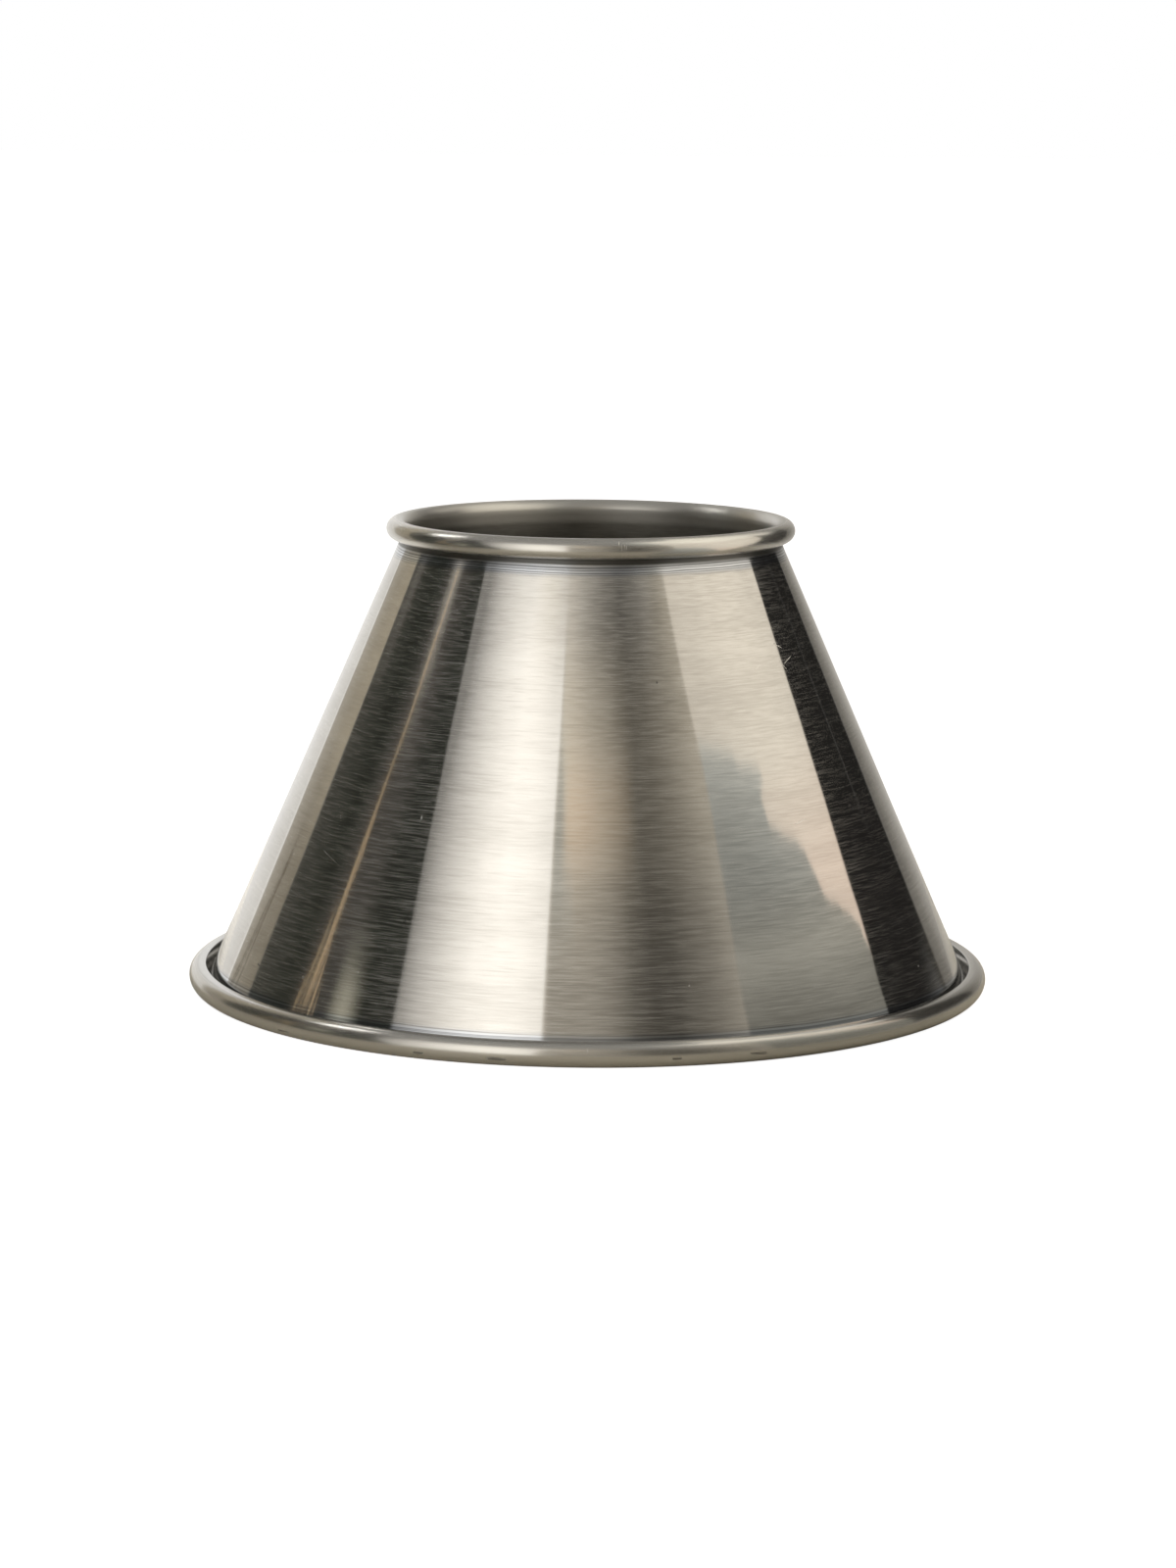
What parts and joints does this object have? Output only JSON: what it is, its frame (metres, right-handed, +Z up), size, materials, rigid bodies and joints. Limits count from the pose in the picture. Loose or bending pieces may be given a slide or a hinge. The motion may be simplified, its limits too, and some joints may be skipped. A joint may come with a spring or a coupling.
{
  "type": "lampshade",
  "caption": "Spun metal lampshade: an open cone with a rolled bead round the mouth, an open hem round the rim and a wire-armed fitter ring inside.",
  "frame": {"origin": "on the shade's axis, in the plane that the rim rests on", "axes": "+Z up along the shade's axis, from the rim to the mouth; +Y towards the first fitter arm"},
  "size_m": [0.2, 0.2, 0.1171],
  "materials": {
    "brushed_shell": "antique silver, brushed round the axis",
    "fitter_steel": "dull plated steel"
  },
  "bodies": {
    "root": {"spun_shell": "brushed_shell", "fitter_ring": "fitter_steel", "fitter_arm_1": "fitter_steel", "fitter_arm_2": "fitter_steel", "fitter_arm_3": "fitter_steel"}
  },
  "joints": []
}
